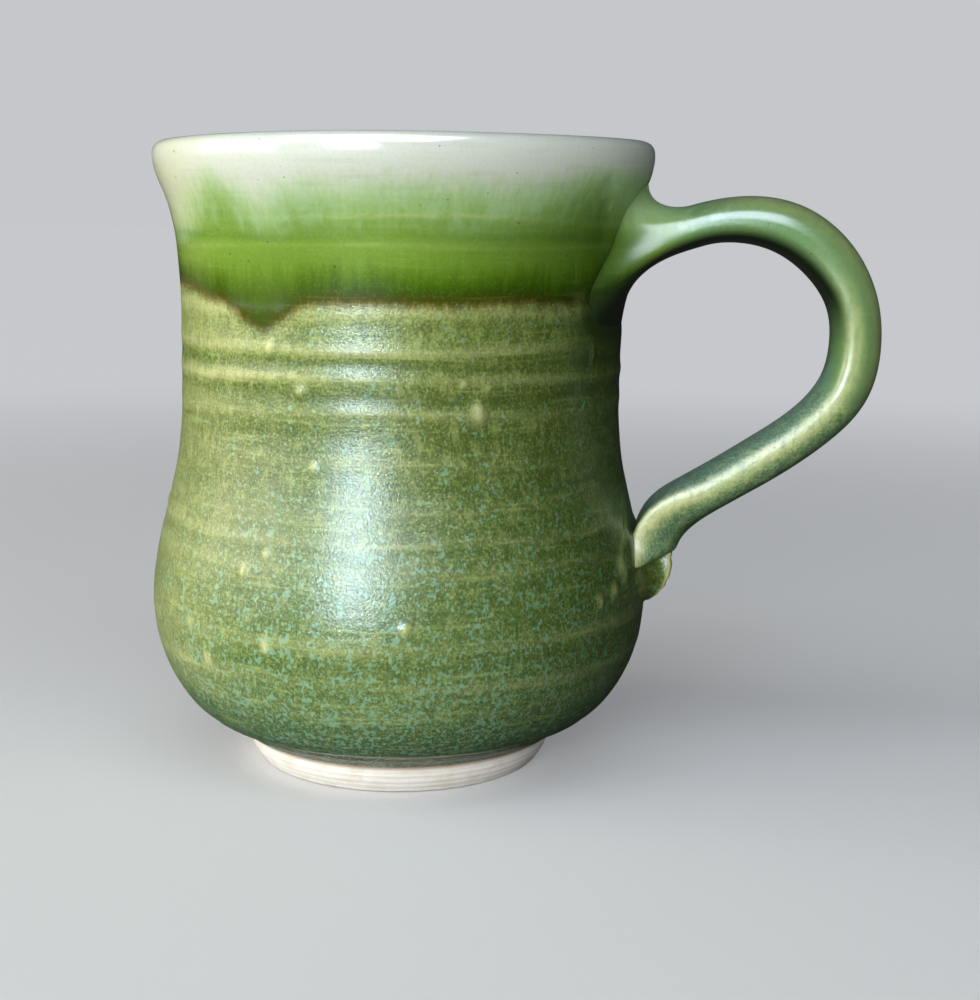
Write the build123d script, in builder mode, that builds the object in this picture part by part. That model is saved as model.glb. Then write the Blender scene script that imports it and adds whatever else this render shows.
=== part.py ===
from build123d import *
import os

# Hand-thrown stoneware mug. Millimetres, +Z up, origin on the mug's axis where the foot ring rests,
# handle towards +X. The clay is a wheel-thrown body, a pulled strap handle and the strap's pressed-down
# tail. Two beds of slip join them, and fired glaze coats cover everything but the foot.

# Driving sizes
MUG_HEIGHT = 115.0
GLAZE = 0.6                  # thickness of every glaze coat
LIP_RADIUS = 45.8            # outside of the mouth, over the glaze
LIP_THICKNESS = 4.2          # over the glaze; the lip is a full round
FOOT_RADIUS = 26.8           # outside of the foot ring where it rests
FOOT_INNER_RADIUS = 22.0
FOOT_ROUNDING = 0.6
GLAZE_EDGE = (28.9, 5.4)     # radius and height where the outside glaze stops above the bare foot
RECESS_HEIGHT = 3.2          # hollow turned under the floor
FLOOR_TOP = 9.4              # inside floor at the axis, over the glaze
OVERLAP_BOTTOM = 87.5        # lower edge of the glossy double-dipped band
OVERLAP_TOP = 103.0          # where the pale rim glaze starts
ROOTS_APART = 60.0           # a height between the handle's two roots

# Outside of the glazed wall, as (radius, height): underside, belly, waist and flared mouth
WALL_OUTSIDE = [
    (33.0, 7.9),
    (38.4, 11.4),
    (43.4, 18.5),
    (46.2, 32.0),
    (44.2, 45.0),
    (41.0, 60.0),
    (40.6, 76.0),
    (41.5, 96.0),
    (44.1, 106.5),
]

# Inside of the glazed wall, from under the lip down to the floor
WALL_INSIDE = [
    (39.2, 103.0),
    (36.8, 90.0),
    (36.0, 72.0),
    (37.0, 56.0),
    (39.8, 42.0),
    (40.2, 29.0),
    (35.5, 17.0),
    (22.0, 10.4),
]

# Middle line of the handle in the XZ plane, from the upper root to the lower end
HANDLE_LINE = [
    (38.0, 93.0),
    (46.0, 97.2),
    (54.0, 100.4),
    (63.0, 101.4),
    (74.5, 97.3),
    (82.4, 83.5),
    (78.2, 67.6),
    (65.0, 57.4),
    (52.6, 48.8),
    (48.2, 42.5),
    (47.2, 36.5),
]

# Clay strap sections as (share of the middle line, width across Y, thickness)
STRAP_SECTIONS = [
    (0.00, 38.0, 21.0),
    (0.06, 26.0, 12.0),
    (0.13, 19.0, 7.0),
    (0.25, 18.0, 7.4),
    (0.37, 17.6, 8.2),
    (0.50, 17.0, 7.8),
    (0.65, 16.4, 7.2),
    (0.80, 15.6, 7.0),
    (0.92, 15.2, 6.8),
    (1.00, 15.0, 6.8),
]

# The strap's pressed-down tail below its end, as (x, z, width across Y, thickness)
TAIL_SECTIONS = [
    (46.6, 33.4, 12.0, 5.6),
    (45.4, 30.0, 7.0, 3.4),
]

LIP_LOW = MUG_HEIGHT - LIP_THICKNESS / 2
LIP_INNER_RADIUS = LIP_RADIUS - LIP_THICKNESS
COAT_OUTSIDE = [GLAZE_EDGE, *WALL_OUTSIDE, (LIP_RADIUS, LIP_LOW)]
COAT_INSIDE = [(LIP_INNER_RADIUS, LIP_LOW), *WALL_INSIDE, (0, FLOOR_TOP)]


def sunk(points, depth):
    """The points moved by depth square to their own line, to its left, which is into the clay."""
    line = Spline(*points, mode=Mode.PRIVATE)
    return [Vector(*point) + line.tangent_at(point).rotate(Axis.Z, 90) * depth for point in points]


def outside_points(depth):
    """Points of the outside of the wall, sunk by depth; the last is where the lip's round starts."""
    points = sunk(COAT_OUTSIDE, depth)
    return [*points[:-1], Vector(LIP_RADIUS - depth, LIP_LOW)]


def inside_points(depth):
    points = sunk(COAT_INSIDE, depth)
    return [Vector(LIP_INNER_RADIUS + depth, LIP_LOW), *points[1:-1], Vector(0, FLOOR_TOP - depth)]


def outside_line(depth):
    """Draws the outside of the wall and the round of the lip, sunk by depth under the glaze surface."""
    wall = outside_points(depth)
    Spline(*wall, tangents=[Vector(0.84, 0.54), Vector(0, 1)])
    lip_top = (LIP_RADIUS - LIP_THICKNESS / 2, MUG_HEIGHT - depth)
    ThreePointArc(wall[-1], lip_top, inside_points(depth)[0])


def inside_line(depth):
    """Draws the inside of the wall and the floor, sunk by depth under the glaze surface."""
    Spline(*inside_points(depth), tangents=[Vector(0, -1), Vector(-1, 0)])


def outside_coat(low, high):
    """The wall's outside glaze coat between two heights; the highest band turns over the lip."""
    with BuildPart() as coat:
        with BuildSketch(Plane.XZ):
            with BuildLine():
                outside_line(0)
                Line(inside_points(0)[0], inside_points(GLAZE)[0])
                outside_line(GLAZE)
                Line(outside_points(GLAZE)[0], outside_points(0)[0])
            make_face()
        revolve(axis=Axis.Z)
        with Locations((0, 0, low)):
            Cylinder(
                2 * LIP_RADIUS,
                high - low,
                align=(Align.CENTER, Align.CENTER, Align.MIN),
                mode=Mode.INTERSECT,
            )
    return coat.part


def strap(extra):
    """The handle's strap, thickened all round by extra, from inside the wall to its lower end."""
    line = Spline(*[(x, 0, z) for x, z in HANDLE_LINE])
    with BuildPart() as stock:
        for share, width, thickness in STRAP_SECTIONS:
            with BuildSketch(Plane(line @ share, x_dir=(0, 1, 0), z_dir=line % share)):
                Ellipse(width / 2 + extra, thickness / 2 + extra)
        loft()
    return stock.part


def tail(extra):
    """The pressed-down tail that carries on from the strap's lower end, thickened by extra."""
    line = Spline(*[(x, 0, z) for x, z in HANDLE_LINE])
    _, end_width, end_thickness = STRAP_SECTIONS[-1]
    strap_end = (*HANDLE_LINE[-1], end_width, end_thickness)
    with BuildPart() as stock:
        for x, z, width, thickness in [strap_end, *TAIL_SECTIONS]:
            with BuildSketch(Plane((x, 0, z), x_dir=(0, 1, 0), z_dir=line % 1)):
                Ellipse(width / 2 + extra, thickness / 2 + extra)
        loft()
    return stock.part


# Shapes that several pieces are cut with
clay_strap = strap(0)
clay_tail = tail(0)
coated_strap = strap(GLAZE)
coated_tail = tail(GLAZE)

with BuildPart() as filled_mug:
    with BuildSketch(Plane.XZ):
        with BuildLine():
            outside_line(0)
            Polyline(inside_points(0)[0], (0, LIP_LOW), (0, GLAZE_EDGE[1]), GLAZE_EDGE)
        make_face()
    revolve(axis=Axis.Z)

# Clay: the thrown body with its turned foot ring
with BuildPart() as thrown_body:
    with BuildSketch(Plane.XZ):
        with BuildLine():
            outside_line(GLAZE)
            inside_line(GLAZE)
            Polyline(
                inside_points(GLAZE)[-1],
                (0, RECESS_HEIGHT),
                (FOOT_INNER_RADIUS - FOOT_ROUNDING, RECESS_HEIGHT),
                (FOOT_INNER_RADIUS, 0),
                (FOOT_RADIUS - FOOT_ROUNDING, 0),
                (FOOT_RADIUS, FOOT_ROUNDING),
                outside_points(GLAZE)[0],
            )
        make_face()
    revolve(axis=Axis.Z)

# Clay: the pulled strap and its tail, both stopping at the coat's outer face
with BuildPart() as pulled_handle:
    add(clay_strap)
    add(filled_mug.part, mode=Mode.SUBTRACT)

with BuildPart() as handle_tail:
    add(clay_tail)
    add(filled_mug.part, mode=Mode.SUBTRACT)

# Slip beds: under each root they take the place of the wall's coat, between clay and clay
upper_coat = outside_coat(ROOTS_APART, MUG_HEIGHT)
lower_coat = outside_coat(0, ROOTS_APART)

with BuildPart() as upper_slip_weld:
    add(upper_coat)
    add(clay_strap, mode=Mode.INTERSECT)

with BuildPart() as lower_slip_weld:
    add(clay_strap)
    add(clay_tail)
    add(lower_coat, mode=Mode.INTERSECT)

# Glaze coats
with BuildPart() as liner_glaze:
    with BuildSketch(Plane.XZ):
        with BuildLine():
            inside_line(0)
            Line(inside_points(0)[-1], inside_points(GLAZE)[-1])
            inside_line(GLAZE)
            Line(inside_points(GLAZE)[0], inside_points(0)[0])
        make_face()
    revolve(axis=Axis.Z)

rim_coat = outside_coat(OVERLAP_TOP, MUG_HEIGHT)
overlap_coat = outside_coat(OVERLAP_BOTTOM, OVERLAP_TOP)
body_coat = outside_coat(0, OVERLAP_BOTTOM)

with BuildPart() as rim_glaze:
    add(rim_coat)
    add(clay_strap, mode=Mode.SUBTRACT)

with BuildPart() as overlap_glaze:
    add(overlap_coat)
    add(clay_strap, mode=Mode.SUBTRACT)

with BuildPart() as body_glaze:
    add(body_coat)
    add([clay_strap, clay_tail], mode=Mode.SUBTRACT)

with BuildPart() as handle_glaze:
    add([coated_strap, coated_tail])
    add([clay_strap, clay_tail, filled_mug.part], mode=Mode.SUBTRACT)

pieces = {
    "thrown_body": thrown_body,
    "pulled_handle": pulled_handle,
    "handle_tail": handle_tail,
    "upper_slip_weld": upper_slip_weld,
    "lower_slip_weld": lower_slip_weld,
    "liner_glaze": liner_glaze,
    "rim_glaze": rim_glaze,
    "overlap_glaze": overlap_glaze,
    "body_glaze": body_glaze,
    "handle_glaze": handle_glaze,
}
os.makedirs("parts", exist_ok=True)
for name, piece in pieces.items():
    piece.part.label = name
    export_step(piece.part, f"parts/{name}.step")
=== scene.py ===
"""Wheel-thrown stoneware mug: glazed wall, liner, bare foot and pulled strap handle, on the CAD frame."""
import math

import bpy
import numpy as np
from mathutils import Matrix, Vector
from mathutils.bvhtree import BVHTree


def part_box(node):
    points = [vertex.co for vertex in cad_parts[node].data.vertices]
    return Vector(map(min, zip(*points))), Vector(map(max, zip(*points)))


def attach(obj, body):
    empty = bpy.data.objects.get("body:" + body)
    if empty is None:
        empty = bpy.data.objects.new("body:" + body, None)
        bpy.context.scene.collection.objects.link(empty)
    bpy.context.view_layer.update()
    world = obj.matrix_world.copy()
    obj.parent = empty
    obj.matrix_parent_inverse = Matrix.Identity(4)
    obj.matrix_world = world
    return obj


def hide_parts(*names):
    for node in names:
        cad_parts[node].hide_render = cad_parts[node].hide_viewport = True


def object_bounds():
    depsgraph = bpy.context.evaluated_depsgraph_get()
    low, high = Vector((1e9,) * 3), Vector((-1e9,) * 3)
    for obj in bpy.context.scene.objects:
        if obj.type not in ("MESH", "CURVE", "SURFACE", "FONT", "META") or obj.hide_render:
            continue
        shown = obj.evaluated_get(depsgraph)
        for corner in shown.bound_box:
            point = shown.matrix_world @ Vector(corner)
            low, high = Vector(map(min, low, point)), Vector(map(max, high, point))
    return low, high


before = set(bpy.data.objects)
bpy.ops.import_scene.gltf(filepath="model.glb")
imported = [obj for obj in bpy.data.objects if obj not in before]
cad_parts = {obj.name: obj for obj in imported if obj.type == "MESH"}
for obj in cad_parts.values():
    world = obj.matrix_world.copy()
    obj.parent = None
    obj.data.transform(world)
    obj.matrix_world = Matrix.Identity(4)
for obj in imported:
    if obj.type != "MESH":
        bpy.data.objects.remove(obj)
cad_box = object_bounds()

# Lengths below are millimetres; angles round the axis are radians, with the handle at 0
MM = 0.001
CAMERA_TURN = math.radians(10)              # the camera stands this far round towards the handle
FACING = CAMERA_TURN - math.pi / 2          # direction from the axis to the camera
MUG_HEIGHT = cad_box[1].z / MM
GLAZE = 0.6                                 # thickness of a glaze coat
LIP_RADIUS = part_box("rim_glaze")[1].y / MM
LIP_THICKNESS = 4.2
LIP_LOW = MUG_HEIGHT - LIP_THICKNESS / 2
OVERLAP_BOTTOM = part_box("overlap_glaze")[0].z / MM
OVERLAP_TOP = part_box("overlap_glaze")[1].z / MM
ROUND = 480                                 # mesh steps round the wall
STEP = 0.6                                  # mesh step up the wall


# ---------------------------------------------------------------- smooth lines and waves

def natural_spline(knots, points, places):
    """Values at the places of the smooth curve that passes through the points at the knots."""
    gaps = np.diff(knots)
    system = np.eye(len(points))
    target = np.zeros_like(points)
    for i in range(1, len(points) - 1):
        system[i, i - 1:i + 2] = gaps[i - 1], 2 * (gaps[i - 1] + gaps[i]), gaps[i]
        target[i] = 6 * ((points[i + 1] - points[i]) / gaps[i] - (points[i] - points[i - 1]) / gaps[i - 1])
    bends = np.linalg.solve(system, target)
    i = np.clip(np.searchsorted(knots, places) - 1, 0, len(points) - 2)
    gap = gaps[i][:, None]
    before = (places - knots[i])[:, None]
    after = gap - before
    return (
        (bends[i] * after**3 + bends[i + 1] * before**3) / (6 * gap)
        + (points[i] / gap - bends[i] * gap / 6) * after
        + (points[i + 1] / gap - bends[i + 1] * gap / 6) * before
    )


def lengths_along(line):
    """The length of a line of points up to each of its points."""
    return np.concatenate([[0], np.cumsum(np.linalg.norm(np.diff(line, axis=0), axis=1))])


def smooth_line(points, step):
    """A smooth line through the points, sampled at even steps of its length."""
    points = np.asarray(points, float)
    knots = lengths_along(points)
    fine = natural_spline(knots, points, np.linspace(0, knots[-1], 5000))
    lengths = lengths_along(fine)
    even = np.linspace(0, lengths[-1], int(round(lengths[-1] / step)) + 1)
    return np.stack([np.interp(even, lengths, fine[:, k]) for k in range(points.shape[1])], axis=1)


def smoothstep(low, high, value):
    """0 at low and 1 at high, with a soft start and end; low may be the greater."""
    share = np.clip((value - low) / (high - low), 0, 1)
    return share * share * (3 - 2 * share)


def bell(distance, width):
    """1 at no distance, dying away over about a width and a half."""
    return np.exp(-((distance / width) ** 2))


def wander(turn, waves, seed):
    """A wavy value round the axis, mostly between -1 and 1, that meets itself after one turn."""
    own = np.random.default_rng(seed)
    total = 0 * turn
    for wave in range(1, waves + 1):
        total = total + own.uniform(0.4, 1) * np.sin(wave * turn + own.uniform(0, 2 * math.pi))
    return total / math.sqrt(waves / 2)


# ---------------------------------------------------------------- the wall, read from the frame

def cad_surface(node):
    """A CAD node's faces, ready to be met by rays."""
    return BVHTree.FromObject(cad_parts[node], bpy.context.evaluated_depsgraph_get())


def first_hit(surfaces, start, direction):
    """The nearest point, in millimetres, where a ray meets one of the surfaces."""
    hits = [surface.ray_cast(Vector(start) * MM, Vector(direction)) for surface in surfaces]
    nearest = min((hit for hit in hits if hit[0] is not None), key=lambda hit: hit[3])
    return nearest[0] / MM


# The wall is read on the side away from the handle, a hair beside the seam of the CAD surfaces
BESIDE_SEAM = 0.01
OFF_THE_MUG = 80
OUTSIDE_HEIGHTS = (
    5.5, 6.5, 7.9, 9.6, 11.4, 15, 19, 25, 32, 38, 45, 52, 60, 68, 76, 86, 96, 101.5, 106.5, 110,
)
INSIDE_HEIGHTS = (112.8, 108, 103, 96, 90, 81, 72, 64, 56, 49, 42, 35.5, 29, 23, 17, 13.5)
FLOOR_RADII = (26, 21, 14, 7, 0)
outside_coats = [cad_surface(node) for node in ("rim_glaze", "overlap_glaze", "body_glaze")]
liner_coat = [cad_surface("liner_glaze")]
clay = [cad_surface("thrown_body")]


def outside_radius(surfaces, height):
    return -first_hit(surfaces, (-OFF_THE_MUG, BESIDE_SEAM, height), (1, 0, 0)).x


def inside_radius(height):
    return -first_hit(liner_coat, (0, BESIDE_SEAM, height), (-1, 0, 0)).x


def floor_height(radius):
    return first_hit(liner_coat, (-radius - BESIDE_SEAM, BESIDE_SEAM, MUG_HEIGHT / 2), (0, 0, -1)).z


def lip_point(turn):
    """A point on the full round of the lip, a turn in radians up from its outer side."""
    half = LIP_THICKNESS / 2
    return LIP_RADIUS - half + half * math.cos(turn), LIP_LOW + half * math.sin(turn)


outside_points = [(outside_radius(outside_coats, height), height) for height in OUTSIDE_HEIGHTS]
lip_points = [lip_point(turn) for turn in np.linspace(0, math.pi, 9)]
inside_points = [(inside_radius(height), height) for height in INSIDE_HEIGHTS]
floor_points = [(radius, floor_height(radius)) for radius in FLOOR_RADII]


class Profile:
    """A line in the plane of the axis, as (radius, height), looked up by its length; left is outwards."""

    def __init__(self, points):
        self.line = smooth_line(points, 0.1)
        self.lengths = lengths_along(self.line)
        self.length = self.lengths[-1]
        along = np.gradient(self.line, axis=0)
        along /= np.linalg.norm(along, axis=1)[:, None]
        self.normals = np.stack([along[:, 1], -along[:, 0]], axis=1)

    def at(self, place, lift):
        """Radius and height at a length along the line, lifted off it by a distance."""
        found = []
        for k in range(2):
            point = np.interp(place, self.lengths, self.line[:, k])
            found.append(point + lift * np.interp(place, self.lengths, self.normals[:, k]))
        return found

    def place_of(self, height):
        """The length at which the line first reaches a height."""
        rising = int(np.argmax(self.line[:, 1]))
        return np.interp(height, self.line[:rising, 1], self.lengths[:rising])


outside = Profile([*outside_points, *lip_points])
inside = Profile([*inside_points, *floor_points])


def wall_radius(height):
    return outside.at(outside.place_of(height), 0)[0]


def round_axis(radius, turn, height):
    """Points given by their radius and turn round the mug's axis, and their height."""
    return np.stack([radius * np.cos(turn), radius * np.sin(turn), height + 0 * turn], axis=-1)


# ---------------------------------------------------------------- where the handle meets the wall

# Outlines of the handle's roots as (degrees round the strap, distance from its plane, height)
UPPER_ROOT = [
    (90, 0.0, 108.6),
    (62, 7.0, 106.6),
    (36, 12.4, 102.6),
    (10, 15.2, 96.6),
    (-16, 19.6, 91.4),
    (-40, 21.4, 86.0),
    (-58, 17.6, 82.4),
    (-75, 9.4, 81.0),
    (-90, 0.0, 80.6),
]
LOWER_ROOT = [
    (90, 0.0, 41.2),
    (60, 5.0, 39.8),
    (30, 8.8, 38.9),
    (0, 11.2, 39.8),
    (-30, 10.4, 42.8),
    (-60, 6.4, 45.4),
    (-90, 0.0, 46.2),
]
root_lines = [smooth_line(np.array(root)[:, 1:], 0.5) for root in (UPPER_ROOT, LOWER_ROOT)]


def beside_handle(turn, radius):
    """Distance round the wall from the handle's plane."""
    return np.abs(np.arctan2(np.sin(turn), np.cos(turn))) * radius


def from_root(turn, height):
    """Distance along the wall to the nearest outline of a root of the handle."""
    across = beside_handle(turn, wall_radius(height))
    nearest = np.full(across.shape, np.inf)
    for line in root_lines:
        for edge_across, edge_height in line:
            nearest = np.minimum(nearest, np.hypot(across - edge_across, height - edge_height))
    return nearest


# ---------------------------------------------------------------- relief of the outside glaze

# Throwing rings as (height, half width, rise, how pale the thin glaze on them is)
THROWING_RINGS = [
    (110.2, 1.6, -0.10, 0.0),
    (101.3, 0.5, 0.07, 0.25),
    (98.4, 0.7, -0.12, -0.34),
    (97.0, 0.5, 0.08, 0.22),
    (93.2, 1.2, 0.06, 0.0),
    (85.9, 1.3, 0.12, 0.55),
    (83.6, 1.0, -0.10, -0.30),
    (80.0, 1.1, 0.14, 0.50),
    (77.5, 1.4, -0.16, -0.55),
    (74.7, 1.1, 0.22, 0.80),
    (72.1, 1.5, -0.14, -0.45),
    (69.0, 1.2, 0.12, 0.35),
    (66.0, 1.5, -0.08, -0.20),
    (61.0, 1.6, 0.07, 0.15),
    (56.5, 1.4, -0.07, -0.15),
    (52.5, 1.5, 0.06, 0.10),
    (48.5, 1.2, 0.10, 0.30),
    (46.2, 1.0, -0.06, -0.15),
    (43.8, 1.2, 0.10, 0.30),
    (38.0, 1.6, -0.06, -0.10),
    (31.6, 1.3, 0.12, 0.35),
    (28.0, 1.5, -0.07, -0.15),
    (24.6, 1.2, 0.10, 0.30),
    (19.5, 1.4, 0.06, 0.10),
    (15.2, 1.0, -0.08, -0.20),
]

# Pimples in the glaze as (degrees from the facing side, height, radius, rise, stretch up the wall)
PIMPLES = [
    (-32.7, 80.1, 0.75, 0.30, 1.5),
    (-24.8, 72.8, 0.85, 0.40, 1.2),
    (18.0, 70.2, 1.10, 0.45, 2.0),
    (20.3, 73.6, 0.55, 0.25, 1.3),
    (14.2, 74.6, 0.60, 0.20, 1.0),
    (-20.9, 60.6, 0.60, 0.25, 1.2),
    (-30.7, 45.8, 0.75, 0.35, 1.2),
    (-36.3, 42.7, 0.85, 0.30, 1.1),
    (0.8, 34.9, 0.80, 0.35, 1.1),
    (-52.0, 32.0, 0.70, 0.35, 1.2),
    (-46.4, 26.4, 1.00, 0.40, 1.5),
    (-29.3, 30.4, 0.80, 0.20, 1.4),
    (48.6, 35.9, 1.00, 0.50, 1.3),
    (54.8, 37.0, 1.00, 0.50, 1.4),
    (60.5, 38.6, 0.90, 0.45, 1.6),
    (59.5, 40.4, 1.50, 0.60, 1.1),
    (54.4, 78.1, 0.60, 0.25, 3.0),
    (55.0, 103.7, 0.60, 0.30, 1.4),
    (79.0, 92.2, 0.60, 0.30, 1.2),
    (123.0, 64.0, 0.80, 0.30, 1.3),
    (151.0, 41.0, 0.90, 0.35, 1.2),
    (176.0, 71.0, 0.70, 0.30, 1.4),
    (-151.0, 57.0, 0.80, 0.35, 1.2),
    (-128.0, 36.0, 1.00, 0.35, 1.3),
    (-104.0, 76.0, 0.70, 0.30, 1.2),
    (-88.0, 49.0, 0.80, 0.30, 1.3),
]


# Drips and rises of the glazes' borders as (degrees from the facing side, half width, rise)
LOWER_BORDER_WAVES = [(-35.2, 8.0, -4.0), (131.0, 9.0, -1.6), (-142.0, 6.0, -2.8)]
UPPER_BORDER_WAVES = [(-46.0, 5.0, 3.2), (-33.0, 7.0, -2.2), (-13.0, 5.0, -0.8), (160.0, 8.0, 2.5)]


def from_facing(turn):
    """Degrees from the side that faces the camera, positive towards the handle."""
    return (np.degrees(turn - FACING) + 180) % 360 - 180


def border_shift(turn):
    """How far the glazes' borders wander from level: the band's lower edge and the rim glaze's edge."""
    side = from_facing(turn)
    lower = 0.35 * wander(turn, 7, 31)
    lower = lower + 1.8 * smoothstep(-48, -66, side) * smoothstep(-130, -100, side)
    for centre, width, rise in LOWER_BORDER_WAVES:
        lower = lower + rise * bell(side - centre, width)
    upper = 0.8 * wander(turn, 9, 32)
    upper = upper - 5.5 * smoothstep(-54, -66, side) * smoothstep(-140, -100, side)
    upper = upper + 3.0 * smoothstep(15, 50, side) * smoothstep(130, 80, side)
    for centre, width, rise in UPPER_BORDER_WAVES:
        upper = upper + rise * bell(side - centre, width)
    return lower, upper


def shift_at(turn, level):
    """The shift of the glaze zones at a level height, fading out away from both borders."""
    lower, upper = border_shift(turn)
    near_lower = smoothstep(OVERLAP_BOTTOM - 14, OVERLAP_BOTTOM, level)
    near_lower = near_lower * smoothstep(OVERLAP_BOTTOM + 9, OVERLAP_BOTTOM, level)
    near_upper = smoothstep(OVERLAP_TOP - 8, OVERLAP_TOP, level) * smoothstep(MUG_HEIGHT, OVERLAP_TOP, level)
    return lower * near_lower + upper * near_upper


def thrown_relief(turn, height, radius):
    """Relief and paleness of the throwing rings and of the pimples."""
    lift = 0.10 * wander(turn + height / 60, 3, 5) * smoothstep(12, 30, height)
    pale = 0 * lift
    glossy = smoothstep(OVERLAP_BOTTOM - 1, OVERLAP_BOTTOM + 2, height)
    for i, (centre, width, rise, thin) in enumerate(THROWING_RINGS):
        away = height - centre - 0.45 * wander(turn, 4, 60 + i)
        strength = np.clip(0.7 + 0.35 * wander(turn, 5, 100 + i), 0, 1.3)
        lift = lift + (0.75 - 0.45 * glossy) * rise * strength * bell(away, width)
        pale = pale + thin * strength * bell(away, 0.8 * width)
    for side, centre, size, rise, stretch in PIMPLES:
        across = (from_facing(turn) - side + 180) % 360 - 180
        far = np.hypot(np.radians(across) * radius, (height - centre) / stretch) / size
        lift = lift + rise * bell(far, 1)
        pale = pale + 1.1 * bell(far, 0.9)
    return lift, pale


def dipped_relief(side, height, level):
    """Relief and paleness of the two dips, at degrees from the facing side."""
    # the second dip stands a little proud of the first, and its drip is thick and dark
    over = level - OVERLAP_BOTTOM
    lift = 0.06 * smoothstep(-1.4, 1.4, over) * smoothstep(14, 4, over)
    pale = -0.8 * bell(side + 35, 9) * bell(over - 1.5, 3.0)
    # paler towards the camera's left, from thinner glaze and painted light on the side the key light falls
    # on, but darker in the band there; both fade out at the back
    not_back = smoothstep(-165, -110, side)
    in_band = smoothstep(86, 89, height) * smoothstep(108, 101, height)
    pale = pale + 0.34 * smoothstep(-28, -60, side) * smoothstep(14, 26, height) * not_back
    pale = pale + 0.30 * smoothstep(-50, -64, side) * smoothstep(97, 101, height) * not_back
    pale = pale - 0.24 * smoothstep(-5, -25, side) * in_band * not_back
    return lift, pale


def root_relief(turn, height, radius):
    """Relief and paleness round the handle's roots."""
    # darker in the crease round each root, from pooled glaze and painted shade; under the upper root the wall
    # carries a painted shadow over pooled glaze
    crease = from_root(turn, height)
    beside = beside_handle(turn, radius)
    lift = 0.14 * bell(crease, 1.3) * smoothstep(80, 88, height)
    pale = -0.7 * bell(crease, 1.5) * smoothstep(101, 93, height)
    under = smoothstep(66, 82, height) * smoothstep(90, 84, height)
    pale = pale - 0.9 * smoothstep(29, 19, beside) * under
    # slip swells out beside the lower root, with two ridges smeared down the wall
    swell = smoothstep(37, 39.5, height) * smoothstep(48, 43, height)
    lift = lift + 0.6 * smoothstep(5.0, 0.5, crease) * swell
    for top_turn, low_turn in ((12.5, 23.0), (9.5, 17.0)):
        slant = np.radians(top_turn + (low_turn - top_turn) * (50 - height) / 11)
        ridge = bell(beside - slant * radius, 0.8) * smoothstep(38, 42, height) * smoothstep(54, 49, height)
        lift = lift + 0.16 * ridge
        pale = pale + 0.45 * ridge
    return lift, pale


def foot_relief(height):
    """Relief and paleness of a turned line above the foot, and of the glaze rolled over at its end."""
    lift = 0.12 * bell(height - 9.9, 0.5) - 0.22 * bell(height - 8.9, 0.7)
    lift = lift + 0.25 * bell(height - 5.6, 0.9)
    return lift, 0.9 * bell(height - 9.75, 0.32)


def glaze_relief(turn, height, level):
    """Lift of the glaze off the smooth wall, and how pale or dark it is there: thin and thick glaze, with
    painted light and painted shade.
    """
    radius = wall_radius(height)
    reliefs = (
        thrown_relief(turn, height, radius),
        dipped_relief(from_facing(turn), height, level),
        root_relief(turn, height, radius),
        foot_relief(height),
    )
    return sum(lift for lift, _ in reliefs), sum(pale for _, pale in reliefs)


def thick_glaze_and_shade(turn):
    """Darker on the side to the camera's right: painted shade on the side turned from the key light, with
    glaze that ran a little thicker in the dip.
    """
    side = from_facing(turn)
    return (0.75 * smoothstep(-12, 58, side) + 0.25 * smoothstep(60, 84, side)) * smoothstep(175, 120, side)


# ---------------------------------------------------------------- meshes made of rings

def hand_thrown(points):
    """The mouth is a little out of true: it leans to the camera's right and dips on its left."""
    radius = np.hypot(points[..., 0], points[..., 1])
    right = (points[..., 1] * math.cos(FACING) - points[..., 0] * math.sin(FACING)) / np.maximum(radius, 1)
    up = smoothstep(60, MUG_HEIGHT, points[..., 2]) * smoothstep(62, 46, radius)
    scale = 1 - 0.009 * up
    moved = points * np.stack([scale, scale, 1 + 0 * scale], axis=-1)
    moved[..., 0] -= 0.40 * up * math.sin(FACING)
    moved[..., 1] += 0.40 * up * math.cos(FACING)
    moved[..., 2] -= (0.05 + 0.95 * np.clip(-right, 0, 1) ** 1.5) * up**2
    return moved


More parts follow.
